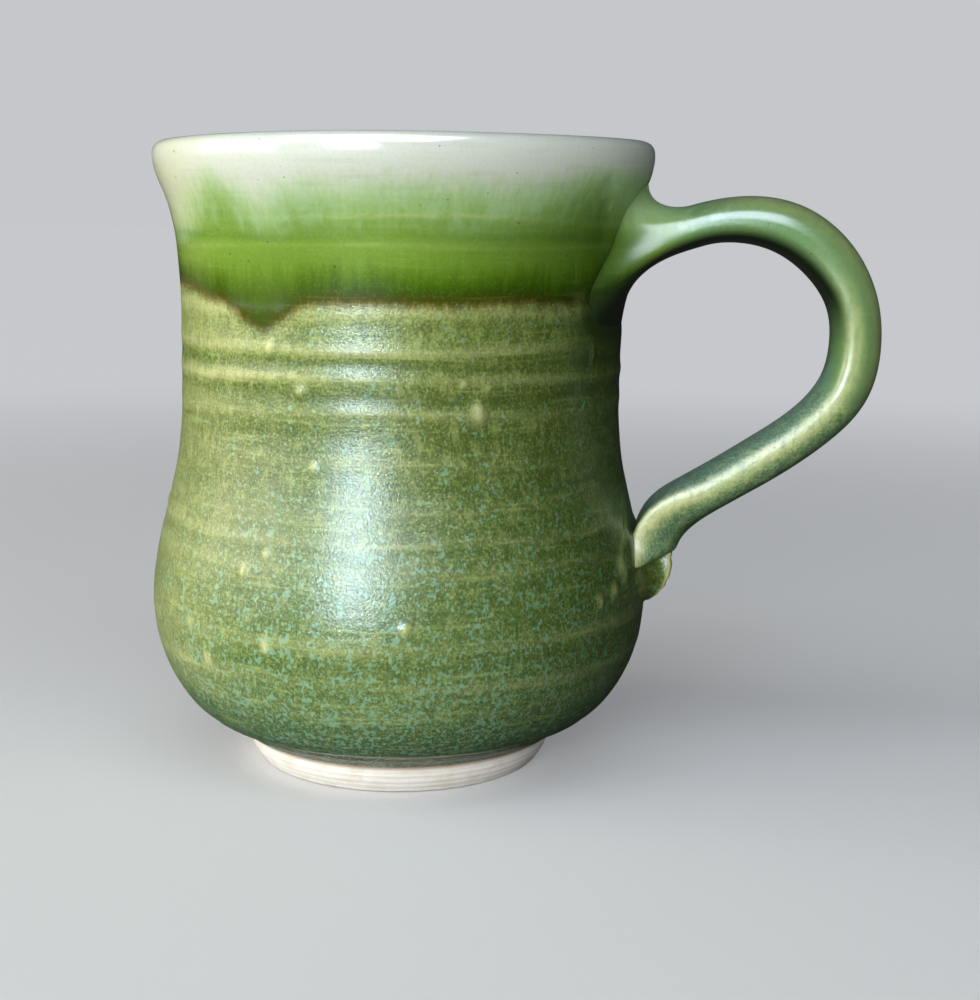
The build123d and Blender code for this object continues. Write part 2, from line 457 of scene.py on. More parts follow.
def ring_mesh(name, rings, joined, values=None, creases=()):
    """A closed mesh through the rings of points. Joined rings close on the first; others end in points."""
    rings = hand_thrown(rings)
    rows, columns = rings.shape[:2]
    number = np.arange(rows * columns).reshape(rows, columns)
    following = np.roll(number, -1, axis=1)
    last = rows if joined else rows - 1
    first_row = number[:last]
    next_row = np.roll(number, -1, axis=0)[:last]
    first_next = following[:last]
    next_next = np.roll(following, -1, axis=0)[:last]
    faces = np.stack([first_row, first_next, next_next, next_row], axis=-1).reshape(-1, 4)
    points = rings.reshape(-1, 3)
    triangles = np.zeros((0, 3), int)
    if not joined:
        ends = []
        for row, flip in ((0, False), (rows - 1, True)):
            centre = len(points)
            points = np.concatenate([points, rings[row].mean(axis=0)[None]])
            a, b = (number[row], following[row]) if flip else (following[row], number[row])
            ends.append(np.stack([a, b, np.full(columns, centre)], axis=-1))
        triangles = np.concatenate(ends)
    mesh = bpy.data.meshes.new(name)
    mesh.vertices.add(len(points))
    mesh.vertices.foreach_set("co", (points * MM).astype(np.float32).ravel())
    loops = np.concatenate([faces.ravel(), triangles.ravel()]).astype(np.int32)
    starts = np.concatenate([np.arange(len(faces)) * 4, len(faces) * 4 + np.arange(len(triangles)) * 3])
    mesh.loops.add(len(loops))
    mesh.loops.foreach_set("vertex_index", loops)
    mesh.polygons.add(len(starts))
    mesh.polygons.foreach_set("loop_start", starts.astype(np.int32))
    mesh.update(calc_edges=True)
    mesh.shade_smooth()
    for key, value in (values or {}).items():
        filled = np.zeros(len(points))
        filled[:rows * columns] = np.broadcast_to(value, (rows, columns)).ravel()
        mesh.attributes.new(key, "FLOAT", "POINT").data.foreach_set("value", filled.astype(np.float32))
    if creases:
        ends = np.zeros(len(mesh.edges) * 2, np.int32)
        mesh.edges.foreach_get("vertices", ends)
        edge_rows = ends.reshape(-1, 2) // columns
        sharp = (edge_rows[:, 0] == edge_rows[:, 1]) & np.isin(edge_rows[:, 0], creases)
        mesh.attributes.new("sharp_edge", "BOOLEAN", "EDGE").data.foreach_set("value", sharp)
    piece = bpy.data.objects.new(name, mesh)
    bpy.context.scene.collection.objects.link(piece)
    return piece


def joined_shell(name, faces, backs, values):
    """A closed shell between two surfaces of rings in the same order, with the same values on both."""
    rings = np.concatenate([faces, backs[::-1]])
    creases = (0, len(faces) - 1, len(faces), len(rings) - 1)
    values = {key: np.concatenate([value, value[::-1]]) for key, value in values.items()}
    return ring_mesh(name, rings, True, values, creases)


def finish_piece(piece, material, node):
    """Gives a piece its material, hides the CAD node it stands for, and puts it on the one rigid body."""
    piece.data.materials.append(material)
    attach(piece, "root")
    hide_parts(node)


turns = np.linspace(0, 2 * math.pi, ROUND, endpoint=False)


def outside_surface(places, depth):
    """Rings of the outside glaze's face, or of a level under it, at nominal lengths up the profile."""
    place, turn = np.meshgrid(places, turns, indexing="ij")
    level = outside.at(place, 0)[1]
    level = np.where(place > outside.place_of(MUG_HEIGHT - 0.01), 2 * MUG_HEIGHT - level, level)
    moved = place + shift_at(turn, level)
    height = outside.at(moved, 0)[1]
    lift, pale = glaze_relief(turn, height, level)
    lift = lift * smoothstep(0, 1.2, place) * smoothstep(outside.length, outside.length - 3, place)
    radius, height = outside.at(moved, lift - depth)
    return round_axis(radius, turn, height), level, pale


def outside_coat(name, low, high):
    """One coat of the outside glaze between two nominal lengths up the profile, as a closed shell."""
    count = max(int(round((high - low) / STEP)), 4)
    faces, level, pale = outside_surface(np.linspace(low, high, count + 1), 0)
    backs, back_level, back_pale = outside_surface(np.linspace(high, low, count // 8 + 2), GLAZE)
    # the thick value is painted shade on the camera's right side, with some thicker glaze
    thick = np.broadcast_to(thick_glaze_and_shade(turns), (len(faces) + len(backs), ROUND))
    values = {
        "zone": np.concatenate([level, back_level]),
        "pale": np.concatenate([pale, back_pale]),
        "thick": thick,
    }
    creases = (0, count, count + 1, len(faces) + len(backs) - 1)
    return ring_mesh(name, np.concatenate([faces, backs]), True, values, creases)


# ---------------------------------------------------------------- the handle

# Middle of the strap in the plane of the axis, over the glaze, with its half thickness
STRAP_MIDDLE = [
    (46.5, 97.3, 4.3),
    (54.0, 100.4, 3.8),
    (61.0, 101.5, 4.1),
    (69.8, 100.0, 4.7),
    (77.2, 94.7, 4.8),
    (81.6, 87.3, 4.5),
    (82.6, 79.5, 4.5),
    (81.0, 71.9, 4.5),
    (75.5, 65.0, 4.2),
    (67.5, 59.0, 4.2),
    (58.5, 53.3, 4.1),
    (52.6, 49.2, 4.15),
    (49.2, 45.2, 4.1),
    (47.5, 40.6, 4.0),
]
STRAP_WIDTHS = [(0, 19.2), (0.3, 18.6), (0.6, 17.4), (1, 15.2)]   # share of the middle line, width across
STRAP_ROUND = 96                           # mesh steps round the strap
TAIL_ROUND = 72                            # mesh steps round the tail
UPPER_BLEND_END = 8.0                      # length of strap taken up by the flare at the upper root
LOWER_BLEND_START = 3.0                    # length before the lower end where the strap starts to press on

strap_line = smooth_line(STRAP_MIDDLE, 0.1)
strap_lengths = lengths_along(strap_line[:, :2])
strap_length = strap_lengths[-1]
around = np.linspace(0, 2 * math.pi, STRAP_ROUND, endpoint=False)


def strap_section(place, sink):
    """Ring of points of the strap at a length along it, sunk under the glaze's face by a distance."""
    x, z, half = [np.interp(place, strap_lengths, strap_line[:, k]) for k in range(3)]
    ahead, back = [np.clip(place + d, 0, strap_length) for d in (0.6, -0.6)]
    along = np.array([
        np.interp(ahead, strap_lengths, strap_line[:, k]) - np.interp(back, strap_lengths, strap_line[:, k])
        for k in range(2)
    ])
    along /= np.linalg.norm(along)
    shares, widths = zip(*STRAP_WIDTHS)
    width = np.interp(place / strap_length, shares, widths) / 2 - sink
    thick = 2 * (half - sink)
    rise = np.sin(around)
    sideways = np.cos(around)
    # domed on top and flatter underneath, with the edges folded down towards the lower end
    domed = 0.58 * thick * np.abs(rise) ** 0.86
    flat = -0.42 * thick * np.abs(rise) ** 0.80
    out = np.where(rise > 0, domed, flat) - 0.08 * thick
    out = out - 2.6 * sideways**2 * smoothstep(strap_length - 17, strap_length - 5, place)
    across = width * np.sign(sideways) * np.abs(sideways) ** np.where(rise > 0, 0.84, 0.80)
    # hand-pulled unevenness along the edges
    across = across * (1 + 0.012 * math.sin(place / 7.0) + 0.008 * math.sin(place / 3.1 + 1))
    normal = np.array([-along[1], along[0]])
    points = np.stack([x + out * normal[0], -across, z + out * normal[1]], axis=1)
    return points, np.array([along[0], 0, along[1]])


def root_outline(outline, sink):
    """Points where a root meets the wall, sunk by a distance, and the wall's direction to its middle."""
    table = np.array(outline)[::-1]
    steep = np.degrees(np.arcsin(np.clip(np.sin(around), -1, 1)))
    knots = table[:, 0]
    found = natural_spline(knots, table[:, 1:], steep.ravel())
    across = found[:, 0] * -np.sign(np.cos(around))
    height = found[:, 1]
    turn = across / wall_radius(height)

    def on_wall(turn, height):
        lift, _ = glaze_relief(turn, height, height)
        radius, level = outside.at(outside.place_of(height), lift - sink)
        return round_axis(radius, turn, level)

    points = on_wall(turn, height)
    middle = np.array([0.0, table[:, 2].mean()])
    inward = on_wall(turn * 0.96, height + 0.04 * (middle[1] - height)) - points
    return points, inward / np.linalg.norm(inward, axis=1)[:, None]


def blend_rings(start, start_slope, end, end_slope, count):
    """Rings of a smooth surface that leaves one ring and arrives at another with the given slopes."""
    t = np.linspace(0, 1, count)[:, None, None]
    return (
        (2 * t**3 - 3 * t**2 + 1) * start
        + (t**3 - 2 * t**2 + t) * start_slope
        + (3 * t**2 - 2 * t**3) * end
        + (t**3 - t**2) * end_slope
    )


def handle_rings(sink):
    """Rings of the handle's face from its upper root on the wall to its lower root, sunk by a distance."""
    wall, inward = root_outline(UPPER_ROOT, 0.3 + sink)
    section, along = strap_section(UPPER_BLEND_END, sink)
    reach = np.linalg.norm(section - wall, axis=1)[:, None]
    leave = np.interp(np.sin(around), [-1, -0.5, 0.5, 1], [1.6, 1.0, 0.95, 1.75])[:, None]
    tilt = np.interp(np.sin(around), [-1, -0.5], [0.12, 0.28])[:, None]
    rising = inward + tilt * wall * [1, 1, 0] / np.hypot(wall[:, 0], wall[:, 1])[:, None]
    arrive = np.interp(np.sin(around), [-1, -0.5], [1.7, 1.15])[:, None]
    upper = blend_rings(wall, rising * reach * leave, section, along * reach * arrive, 40)
    middle_places = np.arange(UPPER_BLEND_END + 0.7, strap_length - LOWER_BLEND_START, 0.7)
    middle = np.array([strap_section(place, sink)[0] for place in middle_places])
    section, along = strap_section(strap_length - LOWER_BLEND_START + 0.4, sink)
    wall, inward = root_outline(LOWER_ROOT, 0.4 + sink)
    reach = np.linalg.norm(section - wall, axis=1)[:, None]
    outer = smoothstep(-0.4, 0.5, np.sin(around))[:, None]
    into_wall = -wall * [1, 1, 0]
    into_wall /= np.linalg.norm(into_wall, axis=1)[:, None]
    arrival = into_wall * outer - inward * (1 - outer)
    lower = blend_rings(section, along * reach * 1.1, wall, arrival * reach * 1.2, 30)
    return np.concatenate([upper, middle, lower])


def tail_rings():
    """Rings and looks of the pressed-down tail: a tongue with a torn rim, scooped out on its near side."""
    # one ring at full size, as (distance off the wall, distance across), from the far side round the rim
    ring = [
        (-2.6, -10.0),
        (0.0, -9.8),
        (1.3, -7.4),
        (2.9, -5.3),
        (4.6, -4.4),
        (5.5, -4.5),
        (5.8, -3.7),
        (5.7, -1.2),
        (5.4, 2.0),
        (4.2, 5.6),
        (1.4, 9.0),
        (-2.6, 10.0),
    ]
    # down the tongue, as (height, share of the distance off the wall, share of the distance across)
    stations = [
        (43.0, 0.94, 0.60),
        (41.5, 0.98, 0.70),
        (39.8, 1.00, 0.86),
        (38.0, 0.96, 0.98),
        (36.0, 0.83, 0.96),
        (34.2, 0.65, 0.82),
        (32.6, 0.42, 0.62),
        (31.4, 0.16, 0.40),
    ]
    closed = np.array([*ring, ring[0]], float)
    loop = smooth_line(closed, lengths_along(closed)[-1] / TAIL_ROUND)[:TAIL_ROUND]
    down = smooth_line(stations, 0.35)
    rings = []
    for i, (height, reach, size) in enumerate(down):
        tear = 1 + 0.022 * math.sin(i * 1.1) * (1 + math.sin(i * 0.31)) * smoothstep(3.8, 5.4, loop[:, 0])
        off = loop[:, 0] * reach * tear
        across = loop[:, 1] * size
        radius = wall_radius(height) + off
        rings.append(np.stack([np.sqrt(radius**2 - across**2), across, height + 0 * across], axis=1))
    rim = np.tile(bell(loop[:, 0] - 5.6, 0.5) * smoothstep(-3.0, -4.2, loop[:, 1]), (len(down), 1))
    # painted shade in the hollow of the scoop, under the strap's end
    scoop = np.tile(bell(loop[:, 0] - 1.0, 2.2) * smoothstep(0, -2, loop[:, 1]), (len(down), 1))
    # the tongue is darker away from its torn rim, which breaks pale
    looks = {"zone": 60 + 0 * rim, "pale": 1.6 * rim - 0.3 * scoop, "thick": 0.45 - 0.3 * rim}
    return np.array(rings), looks


def root_bed(outline):
    """Rings of the thin slip bed between a root and the wall, inside the root's outline."""
    wall, _ = root_outline(outline, 0)
    middle = wall.mean(axis=0)
    radius = np.hypot(middle[0], middle[1])
    middle *= [wall_radius(middle[2]) / radius, 0, 1]
    rings = []
    # out along the bed's face near the glaze's surface, and back along its face on the clay
    for depth, shares in ((0.1, (0.02, 0.3, 0.5, 0.7)), (0.7, (0.7, 0.5, 0.3, 0.02))):
        for share in shares:
            ring = middle + (wall - middle) * share
            flat = wall_radius(ring[:, 2]) - depth
            turn = np.arctan2(ring[:, 1], ring[:, 0])
            rings.append(round_axis(flat, turn, ring[:, 2]))
    return np.array(rings)


# ---------------------------------------------------------------- materials

def linear(colour):
    """A colour given in the 0 to 255 steps of a screen, as linear light."""
    return [*(((c / 255 + 0.055) / 1.055) ** 2.4 if c > 10 else c / 255 / 12.92 for c in colour), 1]


class Nodes:
    """Builds one material; each call adds a node and returns the socket to use next."""

    def __init__(self, name):
        self.material = bpy.data.materials.new(name)
        self.material.use_nodes = True
        self.tree = self.material.node_tree
        self.shader = self.tree.nodes["Principled BSDF"]
        place = self.add("ShaderNodeTexCoord").outputs["Object"]
        self.place = self.vector("MULTIPLY", place, (1 / MM,) * 3)

    def add(self, kind, inputs=None, **settings):
        node = self.tree.nodes.new(kind)
        for key, value in settings.items():
            setattr(node, key, value)
        for socket, value in (inputs or {}).items():
            if isinstance(value, bpy.types.NodeSocket):
                self.tree.links.new(value, node.inputs[socket])
            else:
                node.inputs[socket].default_value = value
        return node

    def vector(self, operation, a, b):
        return self.add("ShaderNodeVectorMath", {0: a, 1: b}, operation=operation).outputs[0]

    def maths(self, operation, a, b=0.0, c=0.0, clamp=False):
        return self.add("ShaderNodeMath", {0: a, 1: b, 2: c}, operation=operation, use_clamp=clamp).outputs[0]

    def times(self, a, b, clamp=False):
        return self.maths("MULTIPLY", a, b, clamp=clamp)

    def line(self, value, slope, start):
        return self.maths("MULTIPLY_ADD", value, slope, start)

    def attribute(self, name):
        return self.add("ShaderNodeAttribute", attribute_name=name).outputs["Fac"]

    def height(self):
        """Height above the table in millimetres."""
        return self.add("ShaderNodeSeparateXYZ", {0: self.place}).outputs[2]

    def noise(self, size, stretch=1.0, detail=2.0, shift=0.0):
        """Noise from 0 to 1 whose grains are about size millimetres, stretched up the wall."""
        place = self.vector("MULTIPLY", self.place, (1 / size, 1 / size, 1 / size / stretch))
        place = self.vector("ADD", place, (shift, shift, shift))
        inputs = {"Vector": place, "Scale": 1.0, "Detail": detail}
        return self.add("ShaderNodeTexNoise", inputs).outputs["Fac"]

    def dots(self, spacing, size, shift=0.0):
        """1 inside scattered small dots, 0 elsewhere; about a third of the cells hold one."""
        place = self.vector("MULTIPLY", self.place, (1 / spacing,) * 3)
        place = self.vector("ADD", place, (shift, shift, shift))
        cells = self.add("ShaderNodeTexVoronoi", {"Vector": place, "Scale": 1.0})
        lot = self.add("ShaderNodeSeparateColor", {0: cells.outputs["Color"]}).outputs[0]
        chosen = self.span(lot, 0.6, 0.9)
        inside_dot = self.span(cells.outputs["Distance"], size / spacing, 0.5 * size / spacing)
        return self.times(chosen, inside_dot)

    def specks(self, fine, coarse):
        """Two sizes of scattered dots together, each given as (spacing, size)."""
        return self.maths("ADD", self.dots(*fine), self.dots(*coarse, 5.0), clamp=True)

    def span(self, value, low, high, to_low=0.0, to_high=1.0):
        """A smooth step from one value to another as the input goes from low to high."""
        inputs = {"Value": value, 1: low, 2: high, 3: to_low, 4: to_high}
        return self.add("ShaderNodeMapRange", inputs, interpolation_type="SMOOTHSTEP").outputs[0]

    def mix(self, factor, a, b, blend="MIX"):
        inputs = {0: factor, 6: a, 7: b}
        return self.add("ShaderNodeMix", inputs, data_type="RGBA", blend_type=blend).outputs[2]

    def tint(self, colour, factor, other, share=1.0):
        """The colour mixed towards another, by a factor times a share."""
        if share != 1.0:
            factor = self.times(factor, share)
        return self.mix(factor, colour, linear(other))

    def ramp(self, value, stops):
        node = self.add("ShaderNodeValToRGB", {0: value})
        steps = node.color_ramp.elements
        steps[0].position, steps[0].color = stops[0]
        steps[1].position, steps[1].color = stops[-1]
        for position, colour in stops[1:-1]:
            steps.new(position).color = colour
        return node.outputs["Color"]

    def bump(self, height, depth, strength=1.0):
        inputs = {"Strength": strength, "Distance": depth * MM, "Height": height}
        return self.add("ShaderNodeBump", inputs).outputs[0]

    def surface(self, **sockets):
        """Sets or links inputs of the Principled shader, named with underscores, and gives the material."""
        for name, value in sockets.items():
            socket = self.shader.inputs[name.replace("_", " ")]
            if isinstance(value, bpy.types.NodeSocket):
                self.tree.links.new(value, socket)
            else:
                socket.default_value = value
        return self.material


# Colour of the outside glaze up the mug, as (height, colour)
ZONES = [
    (4.6, (60, 66, 46)),
    (6.0, (50, 72, 52)),
    (9.2, (52, 80, 56)),
    (10.4, (74, 108, 78)),
    (15.0, (86, 118, 80)),
    (20.0, (102, 128, 80)),
    (30.0, (100, 124, 66)),
    (45.0, (96, 119, 54)),
    (62.0, (98, 117, 52)),
    (72.0, (104, 123, 54)),
    (83.0, (118, 136, 62)),
    (86.2, (138, 152, 80)),
    (87.2, (104, 98, 34)),
    (88.1, (68, 68, 6)),
    (89.6, (54, 82, 2)),
    (91.6, (78, 111, 10)),
    (94.2, (108, 143, 42)),
    (96.9, (116, 150, 54)),
    (98.2, (112, 146, 54)),
    (99.6, (118, 152, 70)),
    (101.5, (128, 162, 88)),
    (104.2, (153, 183, 124)),
    (106.6, (184, 202, 166)),
    (109.0, (203, 210, 197)),
    (115.0, (207, 213, 206)),
]
OLIVE_DARK = (60, 76, 20)
OLIVE_PALE = (178, 190, 116)
TURQUOISE = (128, 178, 152)
SOFT_MINT = (156, 192, 150)
SPECK_DARK = (38, 40, 22)
BREAK_YELLOW = (226, 226, 160)
HANDLE_GREEN = (98, 135, 78)
HANDLE_TEAL = (98, 136, 118)
# painted shade under the top of the loop, with some thick glaze
UNDERSIDE_SHADE = (8, 13, 5)
SHADE_AND_THICK_TINT = (0.17, 0.26, 0.12, 1)          # linear light that a thick coat lets back, also the colour of painted shade


def zone_colour(n, zone):
    """The glaze's colour by height, with its borders drawn out into fine streaks and broad tongues."""
    streaks = n.maths("SUBTRACT", n.noise(1.0, 7, 3), 0.5)
    tongues = n.maths("SUBTRACT", n.noise(5.0, 2.2, 2, 7.0), 0.5)
    loose = n.span(zone, 88.5, 98.0, 2.6, 3.2)
    wandering = n.line(streaks, loose, zone)
    wandering = n.line(tongues, n.times(loose, 0.9), wandering)
    share = n.maths("DIVIDE", wandering, MUG_HEIGHT)
    return n.ramp(share, [(height / MUG_HEIGHT, linear(colour)) for height, colour in ZONES])


def mottled(n, colour, pattern, dark, pale, share):
    """Olive marks where a noise is low and pale ones where it is high, each between two of its levels."""
    colour = n.tint(colour, n.times(n.span(pattern, *dark), share[0]), OLIVE_DARK)
    return n.tint(colour, n.times(n.span(pattern, *pale), share[1]), OLIVE_PALE)


def outside_glaze(name, on_handle=False):
    """Green glaze that runs from teal at the foot through olive and a dark-edged band to cream at the lip."""
    n = Nodes(name)
    zone = n.attribute("zone")
    pale = n.attribute("pale")
    colour = zone_colour(n, zone)
    if on_handle:
        strap = n.attribute("strap")
        colour = n.tint(colour, strap, HANDLE_GREEN)
        colour = n.tint(colour, n.attribute("teal"), HANDLE_TEAL, 0.7)

    # below the band the glaze is mottled, blotched, and combed round the wall by the potter's fingers
    speckled = n.span(zone, 88.3, 86.5)
    fine = n.noise(0.42, 1.2, 3, 3.0)
    blotches = n.noise(1.5, 1.9, 3, 53.0)
    combed = n.noise(13.0, 0.07, 3, 41.0)
    fine_dark = n.line(speckled, 0.54, 0.06)
    fine_pale = n.line(speckled, 0.36, 0.08)
    blotched = n.times(speckled, n.span(zone, 10.0, 60.0, 0.12, 0.28))
    combing = n.line(speckled, 0.22, 0.08)
    colour = mottled(n, colour, fine, (0.54, 0.36), (0.52, 0.70), (fine_dark, fine_pale))
    colour = mottled(n, colour, blotches, (0.50, 0.32), (0.52, 0.70), (blotched, blotched))
    colour = mottled(n, colour, combed, (0.46, 0.28), (0.54, 0.72), (combing, combing))

    # turquoise crystals, thick towards the foot, with soft ones in the top of the band
    broad = n.noise(2.6, 2.5, 2, 11.0)
    crystal = n.maths("ADD", n.noise(0.85, 1.15, 2, 19.0), n.span(zone, 82.0, 14.0, 0.0, 0.10))
    crystal = n.span(n.line(broad, 0.22, crystal), 0.74, 0.82)
    colour = n.tint(colour, n.times(crystal, speckled), TURQUOISE, 0.58)
    soft = n.times(n.span(zone, 97.0, 103.0), n.span(zone, 109.0, 105.0))
    soft = n.times(soft, n.span(n.noise(2.4, 1.5, 3, 23.0), 0.48, 0.66, 0.0, 0.34))
    colour = n.tint(colour, soft, SOFT_MINT)

    # thin glaze breaks pale over rings, pimples and edges, and pools dark between them; the same pale value
    # also carries painted light on the lit left side and the handle's top, a painted highlight near the
    # strap's end, and painted shade in creases, under the upper root and in the tail's scoop
    patchy = n.span(n.noise(1.1, 2.2, 3, 29.0), 0.30, 0.62, 0.55, 1.0)
    colour = n.tint(colour, n.times(pale, patchy, clamp=True), BREAK_YELLOW, 0.62)
    colour = n.tint(colour, n.times(pale, -0.75, clamp=True), OLIVE_DARK)
    # painted shade: the thick value darkens the camera's right side, the handle's root and lower limb and the
    # tail, along with really thicker glaze
    thick = n.times(n.attribute("thick"), n.span(zone, 105.0, 97.0, 0.0, 0.95))
    colour = n.mix(thick, colour, SHADE_AND_THICK_TINT, "MULTIPLY")
    colour = n.tint(colour, n.specks((2.3, 0.20), (3.7, 0.30)), SPECK_DARK, 0.6)

    # satin below the band and glossy above it; the strap has a thin clear coat of its own
    rough = n.line(speckled, 0.165, 0.13)
    rough = n.line(n.maths("SUBTRACT", broad, 0.5), 0.10, rough)
    if on_handle:
        # painted shade on the underside of the loop's top
        colour = n.tint(colour, n.attribute("under"), UNDERSIDE_SHADE)
        rough = n.line(speckled, 0.14, n.line(strap, -0.08, 0.36))
        coat = n.times(strap, n.line(speckled, -0.25, 0.27))
        n.surface(Coat_Weight=coat, Coat_Roughness=0.17)
    grain = n.line(combed, 0.5, n.noise(0.42, 1.0, 2, 37.0))
    grain = n.bump(grain, 0.06, n.line(speckled, 0.93, 0.07))
    return n.surface(Base_Color=colour, Roughness=rough, Normal=grain)


def bare_stoneware(name):
    """Pale fired clay with turning lines, fine grain, a few iron specks and a brown flash at the glaze."""
    n = Nodes(name)
    height = n.height()
    inputs = {"W": n.times(height, 2.6), "Scale": 1.0, "Detail": 3.0}
    turning = n.add("ShaderNodeTexNoise", inputs, noise_dimensions="1D").outputs["Fac"]
    colour = n.mix(n.span(turning, 0.35, 0.65), linear((238, 235, 224)), linear((252, 250, 243)))
    colour = n.tint(colour, n.span(n.noise(3.0, 1, 3, 3.0), 0.45, 0.7, 0.0, 0.35), (222, 206, 176))
    colour = n.tint(colour, n.dots(2.6, 0.22), (120, 92, 62), 0.7)
    colour = n.tint(colour, n.span(height, 4.7, 5.4, 0.0, 0.8), (150, 112, 68))
    grain = n.bump(n.maths("ADD", n.noise(0.25, 1, 3), turning), 0.05)
    return n.surface(Base_Color=colour, Roughness=0.72, Normal=grain)


def cream_glaze(name):
    """Glossy cream liner, bluer where it is thick, with painted shade deeper down the mug and fine specks."""
    n = Nodes(name)
    thick = n.span(n.noise(11.0, 1.0, 3), 0.35, 0.68)
    colour = n.mix(thick, linear((230, 228, 212)), linear((210, 219, 208)))
    # painted shade, darker deeper in the mug
    colour = n.tint(colour, n.span(n.height(), 104.0, 20.0, 0.0, 0.6), (176, 188, 166))
    colour = n.tint(colour, n.times(n.attribute("pale"), 0.5, clamp=True), (238, 226, 198))
    colour = n.tint(colour, n.specks((2.8, 0.22), (4.6, 0.34)), (110, 96, 66), 0.55)
    ripple = n.bump(n.noise(1.6, 1, 2, 3.0), 0.012)
    return n.surface(Base_Color=colour, Roughness=0.14, Normal=ripple)


# ---------------------------------------------------------------- the mug's pieces

FOOT_RING_WIDTH = 4.8
HIDDEN_GAP = 0.35                            # between the glaze's back and the clay's hidden face


def make_liner():
    """The inside coat: its face up from the floor's middle to the lip, and its back down again."""
    places = np.linspace(0, inside.length - 0.5, int(inside.length / 0.8))
    place, turn = np.meshgrid(places, turns[::2], indexing="ij")
    radius, _ = inside.at(place, 0)
    wound = 2 * math.pi * place / 6.5 + turn       # one throwing groove that climbs the wall
    groove = 0.22 * np.sin(wound) + 0.09 * np.sin(2.3 * wound + 1)
    groove = groove * smoothstep(1, 9, place) * smoothstep(0, 5, radius)
    radius, height = inside.at(place, groove)
    face = round_axis(radius, turn, height)[::-1]
    radius, height = inside.at(place[::8], -GLAZE)
    back = round_axis(radius, turn[::8], height)
    pale = np.concatenate([3 * groove[::-1], 0 * place[::8]])
    lip = (len(face) - 1, len(face))
    return ring_mesh("liner_coat", np.concatenate([face, back]), False, {"pale": pale}, lip)


def make_clay_body():
    """The clay under the glaze: the wall's two hidden faces, the bare foot ring and its recess."""
    foot_radius = outside_radius(clay, 0.7)
    foot_inner = foot_radius - FOOT_RING_WIDTH
    recess = first_hit(clay, (-5, BESIDE_SEAM, -OFF_THE_MUG), (0, 0, 1)).z
    under = GLAZE + HIDDEN_GAP
    wall_out = np.stack(outside.at(np.arange(0.8, outside.length, 1.5), -under), axis=1)
    wall_in = np.stack(inside.at(np.arange(1.5, inside.length - 1, 1.5), -under), axis=1)
    foot = [
        (0.3, recess),
        (foot_inner - 3.0, recess + 0.1),
        (foot_inner - 1.0, recess - 0.3),
        (foot_inner - 0.2, recess - 1.2),
        (foot_inner + 0.1, 0.9),
        (foot_inner + 0.7, 0.15),
        (foot_inner + 1.6, 0.0),
        (foot_radius - 1.2, 0.0),
        (foot_radius - 0.35, 0.2),
        (foot_radius + 0.05, 0.7),
        (foot_radius + 1.2, 2.6),
        tuple(outside.at(0, -0.1)),
    ]
    line = np.concatenate([smooth_line(foot, 0.3), wall_out, wall_in])
    line[:, 1] = np.maximum(line[:, 1], 0)
    place, turn = np.meshgrid(np.arange(len(line)), turns[::2], indexing="ij")
    radius = line[:, 0][place]
    height = line[:, 1][place]
    turned = 0.05 * np.sin(height * 5.5) + 0.035 * np.sin(height * 13 + 1)
    turned = turned * smoothstep(0.2, 0.8, height) * smoothstep(5.3, 4.7, height)
    radius = radius + turned * (radius > foot_inner)
    return ring_mesh("clay_body", round_axis(radius, turn, height), False)


def handle_looks(face):
    """Where the handle's glaze is thin or teal, and where light and shade are painted on it, by the share of
    its length and round the strap.
    """
    middle = face.mean(axis=1)
    share = (lengths_along(middle) / lengths_along(middle)[-1])[:, None]
    rise = np.sin(around)[None]
    near_edge = np.abs((around + 0.08 + math.pi) % (2 * math.pi) - math.pi)[None]
    far_edge = np.abs((around - math.pi + 0.12 + math.pi) % (2 * math.pi) - math.pi)[None]
    edges = bell(near_edge, 0.32) + bell(far_edge, 0.32)

    # the upper root has the band's zones, which give way to the strap's own
    past_root = smoothstep(0.1, 0.3, share)
    zone = np.clip(face[..., 2] + 1, 90, 104) * (1 - past_root)
    zone = zone + (96 - 11.0 * smoothstep(0.38, 0.68, share)) * past_root

    # pale along the edges where the glaze breaks, more so near the lower end with a painted highlight; the
    # top of the loop painted lighter where the light falls on it; painted shade at the wall
    top = smoothstep(0.3, 0.9, rise) * smoothstep(0.14, 0.22, share) * smoothstep(0.62, 0.5, share)
    pale = 0.5 * top - 0.6 * smoothstep(0.012, 0, share) * smoothstep(0.6, 0.1, rise)
    pale = pale + edges * (0.80 * smoothstep(0.30, 0.55, share) + 0.6 * smoothstep(0.80, 0.92, share))

    teal = (smoothstep(0.0, -0.5, rise) + 0.8 * bell(near_edge - 0.75, 0.4)) * smoothstep(0.5, 0.7, share)
    # painted shade under the top of the loop
    under = smoothstep(0.0, -0.6, rise + 0.4 * smoothstep(0.12, 0, share)) * smoothstep(0.52, 0.40, share)
    # painted shade where the root meets the wall, and on the lower limb's outer face, which faces down
    thick = 0.7 * smoothstep(0.15, 0.03, share) * smoothstep(1.1, 0.3, rise)
    lower_outer_shade = smoothstep(0.6, 0.98, rise) * smoothstep(0.55, 0.7, share) * smoothstep(1.0, 0.86, share)
    return {
        "zone": zone,
        "strap": smoothstep(0.06, 0.16, share) + 0 * rise,
        "pale": pale,
        "teal": teal,
        "under": 0.95 * under,
        "thick": thick + lower_outer_shade,
    }


liner_material = cream_glaze("cream_liner")
clay_material = bare_stoneware("bare_clay")
rim_material = outside_glaze("cream_rim")
band_material = outside_glaze("glossy_green")
body_material = outside_glaze("speckled_green")
handle_material = outside_glaze("speckled_green_handle", on_handle=True)

